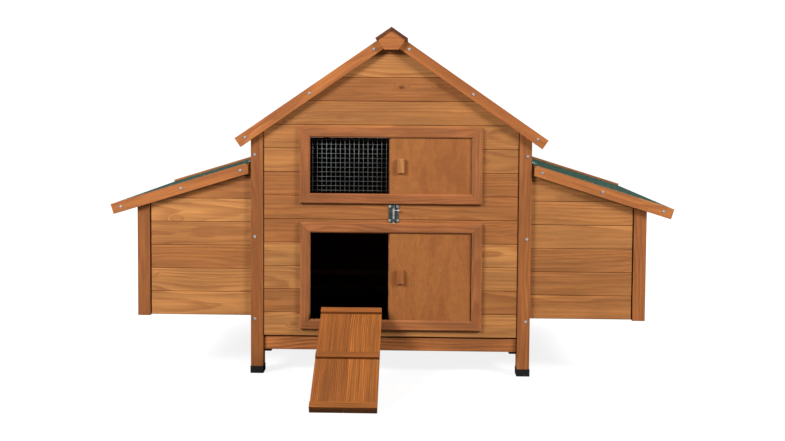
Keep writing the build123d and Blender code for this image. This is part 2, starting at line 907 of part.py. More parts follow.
for side, side_name in ((-1, "left"), (1, "right")):
    with BuildPart() as lid_deck:
        prism_along_y(
            lid.strip(side, lid_inner, lid_outer - lid_deck_inset, lid_deck_top, lid_deck_bottom),
            nest_front - barge_gap,
            nest_rear + barge_gap,
        )
    save(lid_deck, f"lid_{side_name}_deck")
    with BuildPart() as lid_felt:
        prism_along_y(
            lid.strip(side, lid_inner, lid_outer, lid_barge_stand, lid_deck_top),
            nest_front - barge_gap,
            nest_rear + barge_gap,
        )
    save(lid_felt, f"lid_{side_name}_felt")
    with BuildPart() as lid_barges:
        for y0, y1, rise in (
            (lid_front_face, nest_front - barge_gap, 0),
            (nest_rear + barge_gap, lid_rear_face, lid_rear_rise),
        ):
            barge_depths = (-rise, lid_barge_width - rise)
            outline = lid.strip(side, lid_barge_inner, lid_outer, *barge_depths)
            with BuildSketch(Plane.XZ.offset(-y1)) as barge_outline:
                with BuildLine():
                    Polyline(*outline, close=True)
                make_face()
                corners = barge_outline.vertices()
                fillet(corners.sort_by_distance((*outline[0], 0))[0], radius=lid_barge_round)
                fillet(corners.sort_by_distance((*outline[1], 0))[0], radius=lid_tip_round)
            extrude(amount=y1 - y0)
    save(lid_barges, f"lid_{side_name}_barges")

    # Moving hinge leaves on the felt, and the screws through the barge boards.
    with BuildPart() as lid_fittings:
        axis = (side * lid_axis_x, lid_axis_z)
        leaf_depths = (lid_barge_stand - leaf_thickness, lid_barge_stand)
        for center in lid_hinge_centers:
            start = center - knuckle_third / 2 + knuckle_gap
            stop = center + knuckle_third / 2 - knuckle_gap
            knuckle(axis, start, stop, knuckle_radius)
            leaf_end = lid_axis_x + leaf_reach
            prism_along_y(lid.strip(side, lid_axis_x, leaf_end, *leaf_depths), start, stop)
            wide = lid.strip(side, lid_axis_x + leaf_root, leaf_end, *leaf_depths)
            prism_along_y(wide, center - hinge_length / 2, center + hinge_length / 2)
            knuckle(axis, start, stop, hinge_bore_radius, Mode.SUBTRACT)
        for run in lid_screw_runs:
            front_z = lid.height(run, lid_barge_width / 2)
            rear_z = lid.height(run, lid_barge_width / 2 - lid_rear_rise)
            screw(side * run, lid_front_face, front_z, -1, barge_screw_length)
            screw(side * run, lid_rear_face, rear_z, 1, barge_screw_length)
    save(lid_fittings, f"lid_{side_name}_fittings")


# ---------------------------------------------------------------- ramp

ramp_pivot_y = front - ramp_pivot_out
# In this plane +X is the coop's +X, +Y runs up the ramp and +Z stands off its top face.
ramp_plane = Plane(
    origin=(ramp_center, ramp_pivot_y, ramp_pivot_z),
    x_dir=(1, 0, 0),
    z_dir=(0, -sin(ramp_pitch), cos(ramp_pitch)),
)
ramp_hinge_offsets = (-50.0, 50.0)
board_gap = 0.5


def ramp_slab(x0, x1, run0, run1, low, high):
    """A board on the ramp: across, along the slope, and between two heights above the pivot."""
    with BuildSketch(ramp_plane.offset(low)) as footprint:
        with Locations(((x0 + x1) / 2, (run0 + run1) / 2)):
            Rectangle(x1 - x0, run1 - run0)
    extrude(footprint.sketch, amount=high - low)


with BuildPart() as ramp_boards:
    for side in (-1, 1):
        xs = sorted((side * board_gap / 2, side * ramp_width / 2))
        ramp_slab(*xs, -ramp_run, ramp_overhang, ramp_drop, ramp_drop + ramp_board)
save(ramp_boards, "ramp_boards")

with BuildPart() as ramp_cleats:
    top_of_boards = ramp_drop + ramp_board
    lowest = -ramp_run
    highest = ramp_overhang - cleat_width
    for start in (lowest, (lowest + highest) / 2, highest):
        ramp_slab(
            -ramp_width / 2,
            ramp_width / 2,
            start,
            start + cleat_width,
            top_of_boards,
            top_of_boards + cleat_height,
        )
    fillet(edges().filter_by(Axis.X).group_by(Axis.Z)[-1], radius=1.0)
save(ramp_cleats, "ramp_cleats")

ramp_hinge_length = 36.0
ramp_leaf_root = 8.0
ramp_leaf_reach = 30.0
ramp_third = ramp_hinge_length / 3


def ramp_knuckle(start, stop, radius, mode=Mode.ADD):
    """A cylinder along X about the ramp's pivot, from start to stop."""
    with BuildSketch(Plane.YZ.offset(start)) as disc:
        with Locations((ramp_pivot_y, ramp_pivot_z)):
            Circle(radius)
    extrude(disc.sketch, amount=stop - start, mode=mode)


# Fixed leaves of the two ramp hinges, screwed to the face of the door frame's lower rail.
with BuildPart() as ramp_hinge_plates:
    rail_front = front - rail_face
    for offset_x in ramp_hinge_offsets:
        center = ramp_center + offset_x
        block(
            center - ramp_hinge_length / 2,
            center + ramp_hinge_length / 2,
            rail_front - leaf_thickness,
            rail_front,
            door_bottom + leaf_root,
            ramp_pivot_z - leaf_root,
        )
        for start in (center - ramp_hinge_length / 2, center + ramp_third / 2):
            ramp_knuckle(start, start + ramp_third, knuckle_radius)
            block(
                start,
                start + ramp_third,
                ramp_pivot_y,
                rail_front,
                ramp_pivot_z - leaf_root - leaf_thickness,
                ramp_pivot_z - leaf_root,
            )
            block(
                start,
                start + ramp_third,
                ramp_pivot_y - leaf_thickness / 2,
                ramp_pivot_y + leaf_thickness / 2,
                ramp_pivot_z - leaf_root - leaf_thickness,
                ramp_pivot_z,
            )
        ramp_knuckle(
            center - ramp_hinge_length / 2, center + ramp_hinge_length / 2, hinge_pin_radius
        )
save(ramp_hinge_plates, "ramp_hinge_plates")

with BuildPart() as ramp_hinge_leaves:
    for offset_x in ramp_hinge_offsets:
        center = ramp_center + offset_x
        start = center - ramp_third / 2 + knuckle_gap
        stop = center + ramp_third / 2 - knuckle_gap
        ramp_knuckle(start, stop, knuckle_radius)
        ramp_slab(
            offset_x - ramp_third / 2 + knuckle_gap,
            offset_x + ramp_third / 2 - knuckle_gap,
            -ramp_leaf_root,
            0,
            ramp_drop - leaf_thickness,
            ramp_drop,
        )
        ramp_slab(
            offset_x - ramp_hinge_length / 2,
            offset_x + ramp_hinge_length / 2,
            -ramp_leaf_reach,
            -ramp_leaf_root,
            ramp_drop - leaf_thickness,
            ramp_drop,
        )
        ramp_knuckle(start, stop, hinge_bore_radius, Mode.SUBTRACT)
save(ramp_hinge_leaves, "ramp_hinge_leaves")


# ---------------------------------------------------------------- screws of the house

post_screw_heights = (152.0, 381.0, 608.0)
barge_screw_runs = (48.0, 223.5, 399.0)
with BuildPart() as house_screws:
    for side in (-1, 1):
        for z in post_screw_heights:
            x = side * (house_half_width - post_screw_inset)
            screw(x, front, z, -1, post_screw_length)
            screw(x, rear, z, 1, post_screw_length)
        for run in barge_screw_runs:
            z = roof.height(run, barge_width / 2)
            screw(side * run, front_barge_face, z, -1, barge_screw_length)
            screw(side * run, rear_barge_face, z, 1, barge_screw_length)
    for offset_x in bolt_screw_offsets:
        for z in bolt_screw_heights:
            screw(bolt_x + offset_x, wall_face - leaf_thickness, z, -1, bolt_screw_length)
save(house_screws, "house_screws")
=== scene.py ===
# Looks of the chicken coop: materials, the window's round wires, floor, light and camera,
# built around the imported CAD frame. Lengths are in metres; +X runs from left to right along the
# coop's width, the front faces -Y and +Z is up.
import math
import bmesh
import bpy
from mathutils import Euler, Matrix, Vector


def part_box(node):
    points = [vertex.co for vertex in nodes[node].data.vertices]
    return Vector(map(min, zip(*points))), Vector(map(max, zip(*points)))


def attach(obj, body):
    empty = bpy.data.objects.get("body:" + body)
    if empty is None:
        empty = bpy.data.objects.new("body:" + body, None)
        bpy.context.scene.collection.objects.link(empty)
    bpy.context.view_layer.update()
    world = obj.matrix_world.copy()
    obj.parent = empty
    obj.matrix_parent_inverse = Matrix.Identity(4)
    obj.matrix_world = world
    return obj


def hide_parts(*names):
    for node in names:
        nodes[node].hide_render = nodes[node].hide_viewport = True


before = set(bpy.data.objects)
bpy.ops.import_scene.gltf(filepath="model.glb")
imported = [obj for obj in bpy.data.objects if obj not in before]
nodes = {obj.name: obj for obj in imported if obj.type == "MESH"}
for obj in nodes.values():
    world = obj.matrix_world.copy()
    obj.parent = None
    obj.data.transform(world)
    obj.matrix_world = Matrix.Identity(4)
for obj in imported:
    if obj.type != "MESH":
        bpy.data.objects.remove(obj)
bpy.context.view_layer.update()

scene = bpy.context.scene

# ---------------------------------------------------------------- node trees


def linear(red, green, blue):
    """A linear colour from the 0 to 255 values a paint card would give."""

    def decode(value):
        value = value / 255
        if value <= 0.04045:
            return value / 12.92
        return ((value + 0.055) / 1.055) ** 2.4

    return (decode(red), decode(green), decode(blue), 1.0)


class Graph:
    """A material's node tree, with short calls for the nodes that the looks are made of."""

    def __init__(self, name):
        self.material = bpy.data.materials.new(name)
        self.material.use_nodes = True
        self.tree = self.material.node_tree
        self.shader = self.tree.nodes["Principled BSDF"]

    def feed(self, socket, value):
        if isinstance(value, bpy.types.NodeSocket):
            self.tree.links.new(value, socket)
        else:
            socket.default_value = value

    def node(self, kind, inputs, **settings):
        made = self.tree.nodes.new("ShaderNode" + kind)
        for key, value in settings.items():
            setattr(made, key, value)
        for socket, value in inputs.items():
            self.feed(made.inputs[socket], value)
        return made

    def place(self):
        return self.node("TexCoord", {}).outputs["Object"]

    def normal(self):
        return self.node("TexCoord", {}).outputs["Normal"]

    def math(self, operation, first, second=0.0, third=0.0):
        inputs = {0: first, 1: second, 2: third}
        return self.node("Math", inputs, operation=operation).outputs[0]

    def vector(self, operation, first, second=(0, 0, 0)):
        inputs = {0: first, 1: second}
        return self.node("VectorMath", inputs, operation=operation).outputs[0]

    def stretch(self, vector, scale):
        return self.vector("MULTIPLY", vector, scale)

    def split(self, vector):
        return self.node("SeparateXYZ", {0: vector}).outputs

    def join(self, x, y, z):
        return self.node("CombineXYZ", {0: x, 1: y, 2: z}).outputs[0]

    def steps(self, value, low, high, bottom=0.0, top=1.0):
        """A smooth change from bottom to top as value goes from low to high."""
        inputs = {0: value, 1: low, 2: high, 3: bottom, 4: top}
        made = self.node("MapRange", inputs, interpolation_type="SMOOTHSTEP")
        return made.outputs[0]

    def noise(self, vector, scale=1.0, detail=2.0, roughness=0.5):
        inputs = {"Vector": vector, "Scale": scale, "Detail": detail, "Roughness": roughness}
        return self.node("TexNoise", inputs)

    def grey_noise(self, vector, scale=1.0, detail=2.0, low=0.3, high=0.7):
        """Noise spread over 0 to 1."""
        return self.steps(self.noise(vector, scale, detail).outputs[0], low, high)

    def cells(self, vector):
        return self.node("TexVoronoi", {"Vector": vector, "Scale": 1.0})

    def blend(self, factor, first, second):
        return self.node("Mix", {0: factor, 6: first, 7: second}, data_type="RGBA").outputs[2]

    def shade(self, colour, amount):
        """The colour times a grey amount."""
        made = self.node("VectorMath", {0: colour, "Scale": amount}, operation="SCALE")
        return made.outputs[0]

    def relief(self, height, distance, strength, rounding=0.0):
        """Bump from height, over arrises rounded by that radius."""
        inputs = {"Height": height, "Distance": distance, "Strength": strength}
        if rounding:
            bevel = self.node("Bevel", {"Radius": rounding}, samples=4)
            inputs["Normal"] = bevel.outputs[0]
        self.feed(self.shader.inputs["Normal"], self.node("Bump", inputs).outputs[0])

    def surface(self, colour, roughness, **constants):
        self.feed(self.shader.inputs["Base Color"], colour)
        self.feed(self.shader.inputs["Roughness"], roughness)
        for socket, value in constants.items():
            self.shader.inputs[socket.replace("_", " ")].default_value = value


def wear(node_name, material):
    """Gives a CAD node its material."""
    slots = nodes[node_name].data.materials
    slots.clear()
    slots.append(material)


def centre(node_name):
    low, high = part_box(node_name)
    return (low + high) / 2


# ---------------------------------------------------------------- wood

# A length past any piece, for directions in which boards don't repeat.
FAR = 9.0

# For grain along each axis: which coordinates run along it, across it and into the wood.
GRAIN_ORDER = {"X": (0, 2, 1), "Y": (1, 2, 0), "Z": (2, 0, 1)}
END_AXIS = {"X": (1, 0, 0), "Y": (0, 1, 0), "Z": (0, 0, 1)}

# The room of the house counts as this much larger than it is, so that its own faces are in it.
INDOOR_SKIN = 0.0006
# Painted shade: wood inside the house is darkened to this share of its colour, standing in for the
# shade in there.
PAINTED_INDOOR_SHADE = 0.3

# How often each feature of the wood comes in a metre: along, across and into the grain.
KNOT_RATE = (8.0, 15.0, 6.0)
WANDER_RATE = (1.1, 2.5, 2.5)
RIPPLE_RATE = (9.0, 60.0, 60.0)
STREAK_RATE = (6.0, 210.0, 210.0)
BAND_RATE = (1.6, 42.0, 42.0)
FIBRE_RATE = (40.0, 1400.0, 1400.0)
STAIN_RATE = (4.0, 12.0, 12.0)

# How far apart in the log two boards lie, at most.
LOG_SPREAD = (7.0, 5.0, 3.0)

KNOT_SIZE = 0.03
KNOT_SIZE_SPREAD = 0.045
HEART_ACROSS = 0.07
HEART_DEEP = 0.05
HEART_DEPTH = 0.025
WANDER_ACROSS = 0.05
WANDER_DEEP = 0.07
END_CUT_SHADE = 0.7
WOOD_ARRIS = 0.0012


def indoors(g, place):
    """1 on whatever bounds or stands in the room of the house, 0 outside."""
    room_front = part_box("front_wall_planks")[1].y
    room_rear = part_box("rear_wall_planks")[0].y
    room_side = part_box("right_wall_planks")[0].x
    room_middle = (room_front + room_rear) / 2
    room_half = (room_rear - room_front) / 2 + INDOOR_SKIN
    parts = g.split(place)
    aside = g.math("LESS_THAN", g.math("ABSOLUTE", parts[0]), room_side + INDOOR_SKIN)
    within = g.math("ABSOLUTE", g.math("SUBTRACT", parts[1], room_middle))
    return g.math("MULTIPLY", aside, g.math("LESS_THAN", within, room_half))


def knots_at(g, spot, share):
    """Knots, each an ellipse drawn out along the grain, and the wood round them, as 0 to 1."""
    found = g.cells(g.stretch(spot, KNOT_RATE))
    luck = g.split(found.outputs["Color"])
    present = g.math("LESS_THAN", luck[0], share)
    size = g.math("MULTIPLY_ADD", luck[1], KNOT_SIZE_SPREAD, KNOT_SIZE)
    reach = g.math("DIVIDE", found.outputs["Distance"], size)
    knot = g.math("MULTIPLY", present, g.steps(reach, 1.3, 0.7))
    halo = g.math("MULTIPLY", present, g.steps(reach, 4.0, 0.8))
    return knot, halo


def late_wood_at(g, spot, across, deep, luck, halo, ring):
    """The late wood of growth rings round a heart that wanders along the board, as 0 to 1."""
    wander = g.split(g.noise(g.stretch(spot, WANDER_RATE)).outputs["Color"])
    heart_across = g.math("MULTIPLY_ADD", luck[0], HEART_ACROSS, -HEART_ACROSS / 2)
    heart_deep = g.math("MULTIPLY_ADD", luck[1], HEART_DEEP, HEART_DEPTH)
    off_across = g.math(
        "MULTIPLY_ADD", wander[0], WANDER_ACROSS, g.math("ADD", across, heart_across)
    )
    off_deep = g.math("MULTIPLY_ADD", wander[1], WANDER_DEEP, g.math("ADD", deep, heart_deep))
    squares = g.math(
        "ADD", g.math("MULTIPLY", off_across, off_across), g.math("MULTIPLY", off_deep, off_deep)
    )
    ripple = g.noise(g.stretch(spot, RIPPLE_RATE)).outputs[0]
    phase = g.math(
        "MULTIPLY_ADD", g.math("SQRT", squares), 1 / ring, g.math("MULTIPLY", halo, 1.5)
    )
    phase = g.math("MULTIPLY_ADD", ripple, 0.9, phase)
    turned = g.math("FRACT", phase)
    return g.math("MULTIPLY", g.steps(turned, 0.2, 0.85), g.steps(turned, 1.0, 0.88))


def wood(
    name,
    grain,
    tones,
    middle,
    board=(FAR, FAR, FAR),
    turn=None,
    ring=0.0045,
    figure=1.0,
    knots=0.75,
    seed=0.0,
    blotch=1.0,
    room=False,
):
    """Stained softwood.

    The grain runs along one axis, after turning by turn = (axis, angle). Boards repeat every
    board from middle, each with its own tone, knots and place in the log. ring is the width
    of a growth ring, figure the strength of the grain, knots the share of places that have
    one, and blotch how unevenly the stain took. room paints shade on what is inside the house:
    that wood is darkened to stand in for the shade in there.
    """
    light, dark, late, knot_tone = tones
    g = Graph(name)
    place = g.place()
    from_middle = g.vector("SUBTRACT", place, tuple(middle))
    facing = g.normal()
    if turn:
        axis, angle = turn
        spin = {"rotation_type": axis + "_AXIS"}
        from_middle, facing = [
            g.node("VectorRotate", {"Vector": vector, "Angle": angle}, **spin).outputs[0]
            for vector in (from_middle, facing)
        ]

    # which board this is, its luck, and the place within it
    scaled = g.vector("DIVIDE", from_middle, board)
    cell = g.vector("FLOOR", g.vector("ADD", scaled, (0.5, 0.5, 0.5)))
    inside = g.vector("SUBTRACT", from_middle, g.vector("MULTIPLY", cell, board))
    seeded = g.vector("ADD", cell, (seed, seed * 1.7, 3.1))
    chance = g.node("TexWhiteNoise", {"Vector": seeded}).outputs["Color"]
    luck = g.split(chance)
    parts = g.split(inside)
    along, across, deep = (parts[index] for index in GRAIN_ORDER[grain])
    spot = g.vector("ADD", g.join(along, across, deep), g.stretch(chance, LOG_SPREAD))

    knot, halo = knots_at(g, spot, knots)
    late_wood = late_wood_at(g, spot, across, deep, luck, halo, ring)
    streaks = g.grey_noise(g.stretch(spot, STREAK_RATE), 1.0, 3.0)
    bands = g.grey_noise(g.stretch(spot, BAND_RATE), 1.0, 2.0)
    fibres = g.grey_noise(g.stretch(spot, FIBRE_RATE), 1.0, 2.0)
    stain = g.grey_noise(g.stretch(spot, STAIN_RATE), 1.0, 3.0)

    # colour: the board's own tone, darker in late wood and knots
    tone = g.blend(luck[2], light, dark)
    ring_strength = g.math("MULTIPLY_ADD", bands, 0.35 * figure, 0.18 * figure)
    tone = g.blend(g.math("MULTIPLY", late_wood, ring_strength), tone, late)
    tone = g.blend(g.math("MULTIPLY", halo, 0.3), tone, late)
    tone = g.blend(g.math("MULTIPLY", knot, 0.85), tone, knot_tone)

    # shade: streaks, fibres, bands and blotches, each up to so much about 1
    shade = g.math("MULTIPLY_ADD", streaks, 0.22 * figure, 1.0 - 0.11 * figure)
    for cause, amount in ((fibres, 0.10), (bands, 0.18 * figure), (stain, 0.22 * blotch)):
        shade = g.math("MULTIPLY", shade, g.math("MULTIPLY_ADD", cause, amount, 1 - amount / 2))
    end = g.node("VectorMath", {0: facing, 1: END_AXIS[grain]}, operation="DOT_PRODUCT")
    end_cut = g.steps(g.math("ABSOLUTE", end.outputs["Value"]), 0.7, 0.95, 1.0, END_CUT_SHADE)
    shade = g.math("MULTIPLY", shade, end_cut)
    # painted shade: wood inside the house is darkened, standing in for the shade in there
    if room:
        painted_shade_factor = g.math("MULTIPLY_ADD", indoors(g, place), PAINTED_INDOOR_SHADE - 1, 1.0)
        shade = g.math("MULTIPLY", shade, painted_shade_factor)

    # late wood is smoother, and stands proud of the rest
    roughness = g.math("MULTIPLY_ADD", late_wood, -0.06, 0.66)
    roughness = g.math("MULTIPLY_ADD", fibres, 0.08, roughness)
    g.surface(g.shade(tone, shade), roughness, Specular_IOR_Level=0.22)
    height = g.math("MULTIPLY_ADD", late_wood, 0.5, fibres)
    height = g.math("MULTIPLY_ADD", streaks, 0.6, height)
    height = g.math("MULTIPLY_ADD", knot, -0.8, height)
    g.relief(height, 0.0003, 0.5, WOOD_ARRIS)
    return g.material


PLY_THICKNESS = 0.0011
PLY_EDGE_CONTRAST = 0.55


def plywood(name, tones, middle, seed):
    """Stained plywood panel: a broad vertical figure, short dark pores, plies at the edges."""
    light, dark, late, pore_tone = tones
    g = Graph(name)
    place = g.place()
    spot = g.vector("ADD", g.vector("SUBTRACT", place, tuple(middle)), (seed, seed * 0.7, 0.0))
    warp = g.noise(g.stretch(spot, (7.0, 7.0, 2.5)), 1.0, 2.0).outputs["Color"]
    swayed = g.vector("ADD", spot, g.stretch(warp, (0.09, 0.0, 0.12)))
    figure = g.grey_noise(g.stretch(swayed, (26.0, 26.0, 5.0)), 1.0, 3.0)
    flames = g.steps(g.math("SINE", g.math("MULTIPLY", figure, 16.0)), -0.9, 0.9)
    mottle = g.grey_noise(g.stretch(spot, (45.0, 45.0, 60.0)), 1.0, 3.0)
    pores = g.grey_noise(g.stretch(spot, (700.0, 700.0, 70.0)), 1.0, 2.0, 0.56, 0.7)
    fibres = g.grey_noise(g.stretch(spot, (1500.0, 1500.0, 60.0)), 1.0, 2.0)
    tone = g.blend(figure, light, dark)
    tone = g.blend(g.math("MULTIPLY", flames, 0.16), tone, late)
    tone = g.blend(g.math("MULTIPLY", pores, 0.3), tone, pore_tone)
    layer = g.math("MULTIPLY", g.split(place)[1], 1 / PLY_THICKNESS)
    plies = g.math("GREATER_THAN", g.math("FRACT", layer), 0.5)
    edge = g.steps(g.math("ABSOLUTE", g.split(g.normal())[1]), 0.8, 0.3)
    ply_lines = g.math("MULTIPLY", g.math("MULTIPLY", plies, edge), PLY_EDGE_CONTRAST)
    tone = g.blend(ply_lines, tone, late)
    shade = g.math("MULTIPLY_ADD", mottle, 0.10, 0.95)
    shade = g.math("MULTIPLY", shade, g.math("MULTIPLY_ADD", fibres, 0.06, 0.97))
    g.surface(
        g.shade(tone, shade), g.math("MULTIPLY_ADD", pores, 0.1, 0.6), Specular_IOR_Level=0.22
    )
    g.relief(g.math("MULTIPLY_ADD", pores, -0.8, fibres), 0.0002, 0.45, 0.0008)
    return g.material


# Each wood's light and dark boards, late wood, and knots or pores.
PLANK_TONES = (
    linear(165, 111, 60),
    linear(143, 88, 44),
    linear(112, 60, 27),
    linear(84, 41, 19),
)
POST_TONES = (
    linear(144, 86, 42),
    linear(130, 76, 36),
    linear(102, 53, 23),
    linear(60, 27, 12),
)
BARGE_TONES = (
    linear(166, 101, 50),
    linear(146, 84, 40),
    linear(112, 58, 26),
    linear(60, 28, 12),
)
TRAY_TONES = (
    linear(178, 113, 60),
    linear(150, 88, 44),
    linear(110, 56, 26),
    linear(58, 27, 12),
)
FRAME_TONES = (
    linear(150, 92, 50),
    linear(134, 78, 41),
    linear(100, 50, 24),
    linear(60, 28, 13),
)
PANEL_TONES = (
    linear(150, 93, 45),
    linear(138, 81, 39),
    linear(106, 56, 25),
    linear(70, 34, 15),
)
RAMP_TONES = (
    linear(136, 79, 29),
    linear(122, 69, 25),
    linear(92, 46, 16),
    linear(58, 28, 10),
)
RIDGE_TONES = (
    linear(116, 64, 34),
    linear(96, 50, 26),
    linear(66, 32, 16),
    linear(44, 22, 12),
)
BARE_TONES = (
    linear(150, 106, 62),
    linear(138, 92, 50),
    linear(110, 66, 32),
    linear(66, 34, 16),
)

PLANK_COVER = 0.065
HOUSE_WALL_BOTTOM = 0.106
NEST_WALL_BOTTOM = 0.160
HOUSE_SEAM = Vector((0.0, 0.0, HOUSE_WALL_BOTTOM + PLANK_COVER / 2))
NEST_SEAM = Vector((0.0, 0.0, NEST_WALL_BOTTOM + PLANK_COVER / 2))
ROWS = (FAR, FAR, PLANK_COVER)
SIDES = (("left", -1), ("right", 1))
PLY_RING = 0.02


def wear_wood(name, grain, tones, middle=None, board=(FAR, FAR, FAR), **looks):
    """A wood of its own for one CAD node, seen from the node's middle unless told otherwise."""
    if middle is None:
        middle = centre(name)
    wear(name, wood(name, grain, tones, middle, board, **looks))


# plank walls, each row a board of its own
wear_wood("front_wall_planks", "X", PLANK_TONES, HOUSE_SEAM, ROWS, seed=2, room=True)
wear_wood("rear_wall_planks", "X", PLANK_TONES, HOUSE_SEAM, ROWS, seed=3, room=True)
for side, sign in SIDES:
    wear_wood(
        f"{side}_wall_planks", "Y", PLANK_TONES, HOUSE_SEAM, ROWS, seed=8 + sign, room=True
    )
    wear_wood(f"nest_{side}_side_planks", "X", PLANK_TONES, NEST_SEAM, ROWS, seed=13 + sign)
    wear_wood(f"nest_{side}_end_planks", "Y", PLANK_TONES, NEST_SEAM, ROWS, seed=17 + sign)

# posts; the nest posts of one side are a front and a rear one
for number, name in enumerate(
    ("post_front_left", "post_front_right", "post_rear_left", "post_rear_right")
):
    wear_wood(name, "Z", POST_TONES, knots=0.1, seed=21 + number)
for side, sign in SIDES:
    name = f"nest_{side}_posts"
    low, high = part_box(name)
    front_post = Vector(((low.x + high.x) / 2, low.y, (low.z + high.z) / 2))
    apart = (FAR, high.y - low.y, FAR)
    wear_wood(name, "Z", POST_TONES, front_post, apart, knots=0.1, seed=27 + sign)

# window and door frames: two rails, one above the other, and two stiles side by side
for number, kind in enumerate(("window", "door")):
    low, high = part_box(f"{kind}_rails")
    middle = (low + high) / 2
    lower_rail = Vector((middle.x, middle.y, low.z))
    stacked = (FAR, FAR, high.z - low.z)
    left_stile = Vector((low.x, middle.y, middle.z))
    abreast = (high.x - low.x, FAR, FAR)
    looks = {"knots": 0.08, "blotch": 2.2, "figure": 0.8}
    wear_wood(f"{kind}_rails", "X", FRAME_TONES, lower_rail, stacked, seed=31 + number, **looks)
    wear_wood(f"{kind}_stiles", "Z", FRAME_TONES, left_stile, abreast, seed=33 + number, **looks)

# sliding panels and their pulls
for number, (name, pull_tones) in enumerate(
    (("window_panel", PLANK_TONES), ("pop_door", POST_TONES))
):
    wear(name, plywood(name, PANEL_TONES, centre(name), 3.0 + number))
    wear_wood(f"{name}_pull", "Z", pull_tones, knots=0.0, seed=41 + number)

# roof, nest lids and ridge; the barge boards' grain follows the slopes of roof and lids
ROOF_PITCH = math.radians(34.64)
LID_PITCH = math.radians(17.2)
for side, sign in SIDES:
    for name, pitch in (
        (f"barge_boards_{side}", ROOF_PITCH),
        (f"lid_{side}_barges", LID_PITCH),
    ):
        low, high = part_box(name)
        front_board = Vector(((low.x + high.x) / 2, low.y, (low.z + high.z) / 2))
        apart = (FAR, high.y - low.y, FAR)
        wear_wood(
            name,
            "X",
            BARGE_TONES,
            front_board,
            apart,
            turn=("Y", -sign * pitch),
            knots=0.1,
            seed=pitch * 100 + sign,
        )
    wear_wood(f"ridge_cap_{side}", "Y", RIDGE_TONES, knots=0.05, seed=75 + sign)
    wear_wood(f"roof_deck_{side}", "Y", BARE_TONES, knots=0.0, ring=PLY_RING, seed=78 + sign, room=True)
    wear_wood(f"lid_{side}_deck", "Y", BARE_TONES, knots=0.0, ring=PLY_RING, seed=81 + sign)
wear_wood("ridge_end_plates", "X", TRAY_TONES, knots=0.0, seed=84)

# inside
for number, name in enumerate(("wall_battens", "perch_brackets", "tray_rails", "tray_frame")):
    wear_wood(name, "X", PLANK_TONES, knots=0.1, seed=51 + number, room=True)
for side, sign in SIDES:
    wear_wood(f"nest_{side}_floor", "Y", BARE_TONES, knots=0.0, ring=PLY_RING, seed=57 + sign)
    wear_wood(f"nest_{side}_divider", "X", BARE_TONES, knots=0.0, ring=PLY_RING, seed=60 + sign)
wear_wood("perch", "X", PLANK_TONES, knots=0.1, seed=62, room=True)
wear_wood("tray_front", "X", TRAY_TONES, knots=0.5, blotch=2.0, figure=1.4, seed=64)
wear_wood("tray_bottom", "X", BARE_TONES, knots=0.0, seed=65, room=True)

# ramp: two boards side by side, with their grain down its slope, and cleats across them
RAMP_PITCH = math.radians(30.04)
RAMP_BOARD = 0.083
CLEAT_SPACING = 0.12
left_board = centre("ramp_boards") - Vector((RAMP_BOARD / 2, 0.0, 0.0))
wear_wood(
    "ramp_boards",
    "Y",
    RAMP_TONES,
    left_board,
    (RAMP_BOARD, FAR, FAR),
    turn=("X", -RAMP_PITCH),
    knots=0.08,
    figure=1.7,
    seed=71,
)
wear_wood(
    "ramp_cleats", "X", RAMP_TONES, board=(FAR, CLEAT_SPACING, FAR), knots=0.0, figure=1.3, seed=73
)

# ---------------------------------------------------------------- felt, steel, plastic


def felt():
    """Green mineral-surfaced roofing felt: fine chippings in bitumen."""
    g = Graph("green_felt")
    spot = g.place()
    chips = g.cells(g.stretch(spot, (620, 620, 620)))
    luck = g.split(chips.outputs["Color"])
    mottle = g.grey_noise(spot, 9.0, 4.0)
    tone = g.blend(luck[0], linear(12, 42, 33), linear(28, 68, 54))
    tone = g.blend(g.math("GREATER_THAN", luck[1], 0.96), tone, linear(74, 104, 90))
    tone = g.shade(tone, g.math("MULTIPLY_ADD", mottle, 0.3, 0.8))
    g.surface(tone, g.math("MULTIPLY_ADD", luck[2], 0.1, 0.88), Specular_IOR_Level=0.1)
    grains = g.steps(chips.outputs["Distance"], 0.9, 0.1)
    g.relief(g.math("MULTIPLY_ADD", mottle, 1.5, grains), 0.0007, 0.8)
    return g.material


def steel(name, dark, bright):
    """Galvanised steel: a dull zinc skin with faint spangles and small scratches."""
    g = Graph(name)
    spot = g.place()
    spangle = g.split(g.cells(g.stretch(spot, (260, 260, 260))).outputs["Color"])
    scratches = g.grey_noise(g.stretch(spot, (90, 2400, 900)), 1.0, 3.0)
    tone = g.blend(spangle[0], dark, bright)
    dull = g.grey_noise(spot, 160.0, 3.0)
    tone = g.shade(tone, g.math("MULTIPLY_ADD", dull, 0.25, 0.78))
    roughness = g.math("MULTIPLY_ADD", spangle[1], 0.12, 0.32)
    g.surface(tone, g.math("MULTIPLY_ADD", scratches, 0.1, roughness), Metallic=0.65)
    g.relief(g.math("ADD", scratches, dull), 0.0001, 0.4, 0.0003)
    return g.material


def wire():
    """Zinc coating on welded wire, gone dull."""
    g = Graph("mesh_wire")
    spot = g.place()
    dull = g.grey_noise(spot, 220.0, 3.0)
    tone = g.blend(dull, linear(78, 83, 83), linear(112, 118, 116))
    g.surface(tone, g.math("MULTIPLY_ADD", dull, 0.2, 0.4), Metallic=0.5)
    g.relief(dull, 0.0001, 0.4)
    return g.material


def plastic():
    """Moulded black plastic with a fine spark-eroded grain and scuffs near the ground."""
    g = Graph("black_plastic")
    spot = g.place()
    grain = g.grey_noise(spot, 1500.0, 2.0)
    scuff = g.grey_noise(g.stretch(spot, (60, 60, 300)), 1.0, 4.0, 0.55, 0.7)
    low = g.steps(g.split(spot)[2], 0.012, 0.0)
    worn = g.math("MULTIPLY", scuff, g.math("MULTIPLY_ADD", low, 0.4, 0.1))
    tone = g.blend(worn, linear(16, 17, 18), linear(60, 62, 64))
    g.surface(tone, g.math("MULTIPLY_ADD", grain, 0.12, 0.5), Specular_IOR_Level=0.25)
    g.relief(grain, 0.0002, 0.35, 0.0006)
    return g.material


